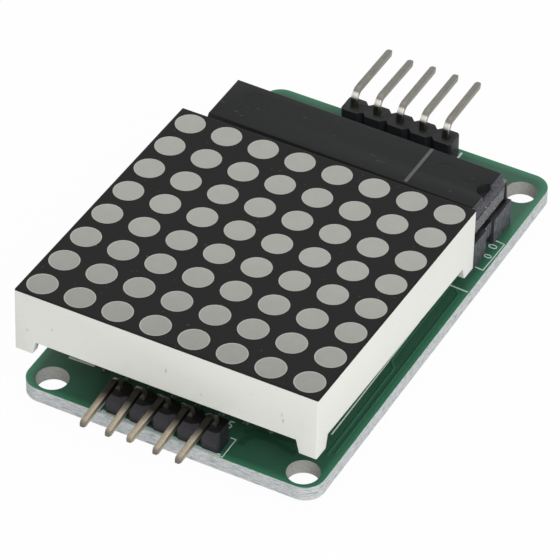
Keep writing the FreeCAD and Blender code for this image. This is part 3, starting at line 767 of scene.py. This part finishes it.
# Matrix housing: a square frame of white plastic with a tapered foot under
# each corner, moulded in one piece. Its walls and feet reach a little lower
# than the solid's, from planes that are pitched as the whole block is.
housing = softened("matrix_housing", "housing", 0.12, 3)
far_wall, slope = 8.25, 0.0416
rim_plane, rim_drop = 5.6, 0.13
foot_plane, foot_drop = 4.5, 0.22
bpy.ops.object.mode_set(mode="EDIT")
for plane, drop in ((rim_plane, rim_drop), (foot_plane, foot_drop)):
    choose(lambda co: co.z / mm < plane + (far_wall - co.y / mm) * slope, "VERT")
    bpy.ops.transform.translate(value=(0, 0, -drop * mm))
bpy.ops.object.mode_set(mode="OBJECT")
white = Finish(bpy.data.materials.new("housing_white"))
x, y, z = (white.place(axis) for axis in "XYZ")
grit = white.noise(2400.0, 4.0)
flow = white.noise(110.0, 3.0)
specks = white.noise(2600.0, 1.0) > 0.74
ivory = white.blend(flow, "#e2e3dd", "#eaebe5")
ivory = white.blend(specks * 0.3, ivory, "#bfbcb3")
front_wall = y < -20 * mm
for across, level, reach in ((-0.55, 8.82, 0.3), (3.15, 7.52, 0.18), (11.5, 8.67, 0.25),
                             (11.65, 8.02, 0.3), (-15.31, 7.53, 0.2), (-12.62, 8.66, 0.2)):
    aside, above = 2.5 * (x - across * mm), z - level * mm
    scuff = white.rise(aside * aside + above * above,
                       (1.2 * reach * mm) ** 2, (0.3 * reach * mm) ** 2)
    ivory = white.blend(scuff * grit * front_wall, ivory, "#9c9c94")
white.give(Base_Color=ivory, Roughness=0.42 + 0.1 * grit, Normal=white.relief(grit + flow, 0.015))
housing.data.materials.append(white.owner)


# Matrix face: a thin black mask over the whole top, with sixty-four round
# windows. A milky resin dot stands flush in each, in a pale ring.
face_centre = Vector((middle_x * mm, -7.35 * mm, 11.3 * mm))
face_tilt = math.radians(-2.38)
face_side, face_thickness = 31.8, 0.15
window_radius = 1.5 * mm
window_pitch = 4.0 * mm
first = -3.5 * window_pitch


def seat(piece):
    """Turn a piece that was made flat about the origin onto the tilted face."""
    pick(piece)
    piece.rotation_euler = (face_tilt, 0, 0)
    piece.location = face_centre
    bpy.ops.object.transform_apply()


def eight_by_eight(piece):
    """Repeat a piece at every window, from the near left one on."""
    for axis in (Vector((1, 0, 0)), Vector((0, 1, 0))):
        row = piece.modifiers.new("row", "ARRAY")
        row.count = 8
        row.use_relative_offset = False
        row.use_constant_offset = True
        row.constant_offset_displace = axis * window_pitch
        bpy.ops.object.modifier_apply(modifier="row")


deselect()
bpy.ops.mesh.primitive_cylinder_add(vertices=48, radius=window_radius, depth=1.0 * mm,
                                    location=(first, first, 0))
drill = bpy.context.object
bpy.ops.object.transform_apply()
eight_by_eight(drill)
deselect()
bpy.ops.mesh.primitive_cube_add(size=mm, location=(0, 0, -face_thickness / 2 * mm))
plate = bpy.context.object
plate.name = plate.data.name = "face_mask"
bpy.ops.transform.resize(value=(face_side, face_side, face_thickness))
bpy.ops.object.transform_apply()
bpy.ops.object.mode_set(mode="EDIT")
choose(lambda a, b: min(a.z, b.z) > -0.01 * mm or abs(a.z - b.z) > 0.1 * mm, "EDGE")
bpy.ops.mesh.bevel(offset=0.1 * mm, segments=3)
bpy.ops.object.mode_set(mode="OBJECT")
cut_out(plate, drill, "windows")
bpy.ops.object.shade_smooth_by_angle(angle=math.radians(35))
seat(plate)
black = Finish(bpy.data.materials.new("face_black"))
grit = black.noise(4200.0, 3.0)
haze = black.noise(90.0)
specks = black.noise(2100.0, 1.0) > 0.76
colour = black.blend(grit * 0.6 + haze * 0.4, "#0a0a0a", "#151514")
colour = black.blend(specks * 0.4, colour, "#565657")
black.give(Base_Color=colour, Roughness=0.55 + 0.1 * grit, Specular_IOR_Level=0.18,
           Normal=black.relief(grit, 0.01))
plate.data.materials.append(black.owner)
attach(plate, "root")
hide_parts("matrix_face")

deselect()
bpy.ops.mesh.primitive_cylinder_add(vertices=40, radius=window_radius, depth=0.14 * mm,
                                    location=(first, first, -0.08 * mm))
dots = bpy.context.object
dots.name = dots.data.name = "face_dots"
bpy.ops.object.transform_apply()
bpy.ops.object.mode_set(mode="EDIT")
choose(lambda c, n: n.z > 0.9)
for ring_width in (0.11 * mm, 0.25 * mm):
    bpy.ops.mesh.inset(thickness=ring_width)
    bpy.ops.transform.translate(value=(0, 0, -0.012 * mm))
bpy.ops.object.mode_set(mode="OBJECT")
milky = Finish(bpy.data.materials.new("resin_milky"))
fine = milky.noise(5200.0, 3.0, 0.7)
haze = fine * 0.5 + milky.noise(900.0) * 0.5
# Painted sheen: the dots are painted paler towards the far side of the face, where it catches
# more of the overhead light.
painted_sheen_rise = milky.rise(milky.place("Y"), -22 * mm, -6 * mm)
darker = milky.blend(haze, "#8f908a", "#a2a39d")
paler = milky.blend(haze, "#a0a19a", "#b4b5ae")
milky.give(Base_Color=milky.blend(painted_sheen_rise, darker, paler), Roughness=0.5,
           Normal=milky.relief(fine, 0.01))
dots.data.materials.append(milky.owner)
dots.data.materials.append(
    mottled("dot_ring", "#a7a8a1", "#bbbcb5", 2500.0, 2.0, Roughness=0.5))
for face in dots.data.polygons:
    reach = (face.center.xy - Vector((first, first))).length
    if face.normal.z > 0.5 and reach > 1.35 * mm:
        face.material_index = 1
eight_by_eight(dots)
bpy.ops.object.shade_smooth_by_angle(angle=math.radians(30))
seat(dots)
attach(dots, "root")


# Solder joints: every lead is soldered from below, in a small bright cone that
# wets the pad and climbs the lead's tail.
solder = Finish(bpy.data.materials.new("solder"))
cool = solder.noise(1600.0)
solder.give(Base_Color=solder.blend(cool, "#b4b5b6", "#d6d7d7"), Metallic=1.0,
            Roughness=0.22 + 0.15 * cool)


def tails(node):
    """Where a node's leads come out below the board: the middle of each."""
    points = [v.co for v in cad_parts[node].data.vertices if v.co.z < -0.9 * mm]
    groups = []
    for point in points:
        near = next((g for g in groups if (g[0].xy - point.xy).length < 1.1 * mm), None)
        if near is None:
            groups.append([point])
        else:
            near.append(point)
    return [Vector(((min(p.x for p in g) + max(p.x for p in g)) / 2,
                    (min(p.y for p in g) + max(p.y for p in g)) / 2, board_low.z))
            for g in groups]


deselect()
bpy.ops.mesh.primitive_circle_add(vertices=16, radius=0.86 * mm, fill_type="NGON",
                                  location=(0, 0, 0.01 * mm))
joint = bpy.context.object
bpy.ops.object.transform_apply()
bpy.ops.object.mode_set(mode="EDIT")
bpy.ops.mesh.select_all(action="SELECT")
for step, narrower in ((0.05, 1.0), (0.08, 0.86), (0.14, 0.78), (0.2, 0.78),
                       (0.28, 0.82), (0.25, 0.84), (0.1, 0.7)):
    push((0, 0, -step * mm), (narrower, narrower, 1), (0, 0, 0))
bpy.ops.mesh.select_all(action="SELECT")
bpy.ops.mesh.normals_make_consistent(inside=False)
bpy.ops.object.mode_set(mode="OBJECT")
bpy.ops.object.shade_smooth()
soldered = ["matrix_pins_near", "matrix_pins_far", "chip_socket_contacts", "resistor_leads",
            "bypass_capacitor_leads", "storage_capacitor_leads"]
soldered += ["%s_pin_%d" % (side, n) for side in ("input", "output") for n in range(1, 6)]
joints = []
for node in soldered:
    for spot in tails(node):
        copy = bpy.data.objects.new("joint", joint.data.copy())
        scene.collection.objects.link(copy)
        copy.data.transform(Matrix.Translation(spot))
        joints.append(copy)
bpy.data.objects.remove(joint)
joints = together("solder_joints", joints)
joints.data.materials.append(solder.owner)
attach(joints, "root")


# Size: the bounds of the dressed module.
low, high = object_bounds()
